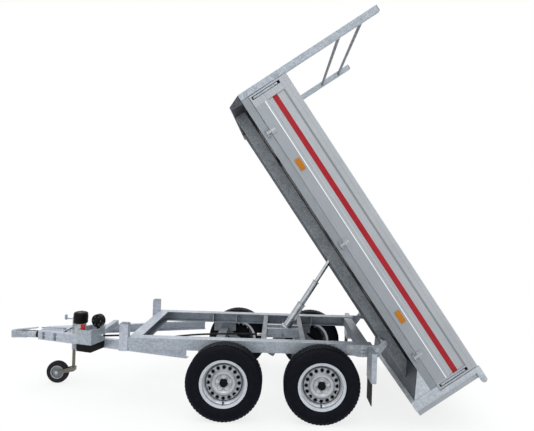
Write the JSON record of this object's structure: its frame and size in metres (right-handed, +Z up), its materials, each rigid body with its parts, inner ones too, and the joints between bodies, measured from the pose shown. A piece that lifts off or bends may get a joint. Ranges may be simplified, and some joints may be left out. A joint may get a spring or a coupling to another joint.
{
  "type": "tipper trailer",
  "caption": "Tandem-axle tipper trailer with a galvanised chassis, V drawbar, aluminium drop sides and its bed raised by a telescopic cylinder.",
  "frame": {"origin": "on the ground under the middle of the raised trailer", "axes": "X forward towards the coupling, Y to the left, Z up"},
  "size_m": [4.044, 1.606, 3.2302],
  "materials": {
    "galvanised_steel": "hot-dip galvanised, mottled spangle",
    "alloy_boards": "mill finish extrusions",
    "bare_alloy": "cast and milled",
    "black_rubber": "matt black rubber",
    "wheel_silver": "silver wheel paint",
    "black_drum": "black cast iron with a black cap",
    "black_plastic": "moulded black",
    "red_plastic": "red moulded key",
    "red_lens": "red lens",
    "polished_steel": "ground and plated",
    "black_paint": "black paint"
  },
  "bodies": {
    "chassis": {"chassis_rails": "galvanised_steel", "front_crossmember": "galvanised_steel", "rear_crossmember": "galvanised_steel", "cradle_crossmembers": "galvanised_steel", "cradle_bearers": "galvanised_steel", "bed_rest_posts": "galvanised_steel", "hinge_brackets": "galvanised_steel", "drawbar_beams": "galvanised_steel", "drawbar_ties": "galvanised_steel", "overrun_housing": "galvanised_steel", "coupling_head": "galvanised_steel", "coupling_gaiter": "black_rubber", "handbrake_lever": "galvanised_steel", "pump_tray": "galvanised_steel", "pump_tank": "black_plastic", "pump_motor": "black_plastic", "pump_manifold": "bare_alloy", "pump_valve": "black_plastic", "isolator_switch": "red_plastic", "hydraulic_hose": "black_rubber", "axles": "galvanised_steel", "mudflap_carriers": "galvanised_steel", "mudflaps": "black_rubber", "rear_lamps": "red_lens", "jockey_tube": "galvanised_steel", "jockey_crank": "galvanised_steel"},
    "jockey_leg": {"jockey_leg": "galvanised_steel"},
    "jockey_fork": {"jockey_fork": "galvanised_steel"},
    "jockey_wheel": {"jockey_rim": "wheel_silver", "jockey_tyre": "black_rubber"},
    "wheel_fl": {"tyre_fl": "black_rubber", "rim_fl": "wheel_silver", "drum_fl": "black_drum"},
    "wheel_fr": {"tyre_fr": "black_rubber", "rim_fr": "wheel_silver", "drum_fr": "black_drum"},
    "wheel_rl": {"tyre_rl": "black_rubber", "rim_rl": "wheel_silver", "drum_rl": "black_drum"},
    "wheel_rr": {"tyre_rr": "black_rubber", "rim_rr": "wheel_silver", "drum_rr": "black_drum"},
    "bed": {"bed_runners": "galvanised_steel", "bed_crossmembers": "galvanised_steel", "cylinder_seat": "galvanised_steel", "bed_floor": "galvanised_steel", "bed_edges": "alloy_boards", "bed_front_beam": "galvanised_steel", "bed_rear_frame": "galvanised_steel", "front_board": "alloy_boards", "rack_posts": "galvanised_steel", "rack_bars": "galvanised_steel"},
    "board_left": {"side_board_left": "alloy_boards"},
    "board_right": {"side_board_right": "alloy_boards"},
    "tailgate": {"tailgate": "alloy_boards"},
    "cylinder_barrel": {"cylinder_barrel": "black_paint"},
    "cylinder_stage_1": {"cylinder_stage_1": "polished_steel"},
    "cylinder_stage_2": {"cylinder_stage_2": "polished_steel"},
    "cylinder_stage_3": {"cylinder_stage_3": "polished_steel"}
  },
  "joints": [
    {"name": "wheel_spin_fl", "type": "hinge", "parent": "chassis", "child": "wheel_fl", "pos_m": [-0.01095, 0.68, 0.298], "axis": [0, 1, 0], "continuous": true},
    {"name": "wheel_spin_fr", "type": "hinge", "parent": "chassis", "child": "wheel_fr", "pos_m": [-0.01095, -0.68, 0.298], "axis": [0, 1, 0], "continuous": true},
    {"name": "wheel_spin_rl", "type": "hinge", "parent": "chassis", "child": "wheel_rl", "pos_m": [-0.77095, 0.68, 0.298], "axis": [0, 1, 0], "continuous": true},
    {"name": "wheel_spin_rr", "type": "hinge", "parent": "chassis", "child": "wheel_rr", "pos_m": [-0.77095, -0.68, 0.298], "axis": [0, 1, 0], "continuous": true},
    {"name": "jockey_height", "type": "slide", "parent": "chassis", "child": "jockey_leg", "axis": [0, 0, 1], "range_m": [0, 0.155]},
    {"name": "jockey_swivel", "type": "hinge", "parent": "jockey_leg", "child": "jockey_fork", "pos_m": [1.44604, 0, 0.133], "axis": [0, 0, 1], "continuous": true},
    {"name": "jockey_spin", "type": "hinge", "parent": "jockey_fork", "child": "jockey_wheel", "pos_m": [1.58804, 0, 0.1], "axis": [0, 1, 0], "continuous": true},
    {"name": "bed_tip", "type": "hinge", "parent": "chassis", "child": "bed", "pos_m": [-1.27595, 0, 0.603], "axis": [0, 1, 0], "range_deg": [0, 55]},
    {"name": "board_left_drop", "type": "hinge", "parent": "bed", "child": "board_left", "pos_m": [-0.87901, 0.795, 1.38957], "axis": [-0.5736, 0, -0.8192], "range_deg": [0, 180]},
    {"name": "board_right_drop", "type": "hinge", "parent": "bed", "child": "board_right", "pos_m": [-0.87901, -0.795, 1.38957], "axis": [0.5736, 0, 0.8192], "range_deg": [0, 180]},
    {"name": "tailgate_swing", "type": "hinge", "parent": "bed", "child": "tailgate", "pos_m": [-1.99805, 0, 0.41034], "axis": [0, 1, 0], "range_deg": [0, 100]},
    {"name": "cylinder_swing", "type": "hinge", "parent": "chassis", "child": "cylinder_barrel", "pos_m": [-0.46595, 0, 0.52], "axis": [0, 1, 0], "range_deg": [0, 13.8]},
    {"name": "stage_1_slide", "type": "slide", "parent": "cylinder_barrel", "child": "cylinder_stage_1", "axis": [0.5202, 0, -0.854], "range_m": [0, 0.23385]},
    {"name": "stage_2_slide", "type": "slide", "parent": "cylinder_stage_1", "child": "cylinder_stage_2", "axis": [0.5202, 0, -0.854], "range_m": [0, 0.23385]},
    {"name": "stage_3_slide", "type": "slide", "parent": "cylinder_stage_2", "child": "cylinder_stage_3", "axis": [0.5202, 0, -0.854], "range_m": [0, 0.23385]}
  ],
  "couplings": [
    {"joint": "cylinder_swing", "follows": "bed_tip", "ratio": 0.25},
    {"joint": "stage_1_slide", "follows": "bed_tip", "m_per_rad": 0.2434},
    {"joint": "stage_2_slide", "follows": "bed_tip", "m_per_rad": 0.2434},
    {"joint": "stage_3_slide", "follows": "bed_tip", "m_per_rad": 0.2434}
  ]
}
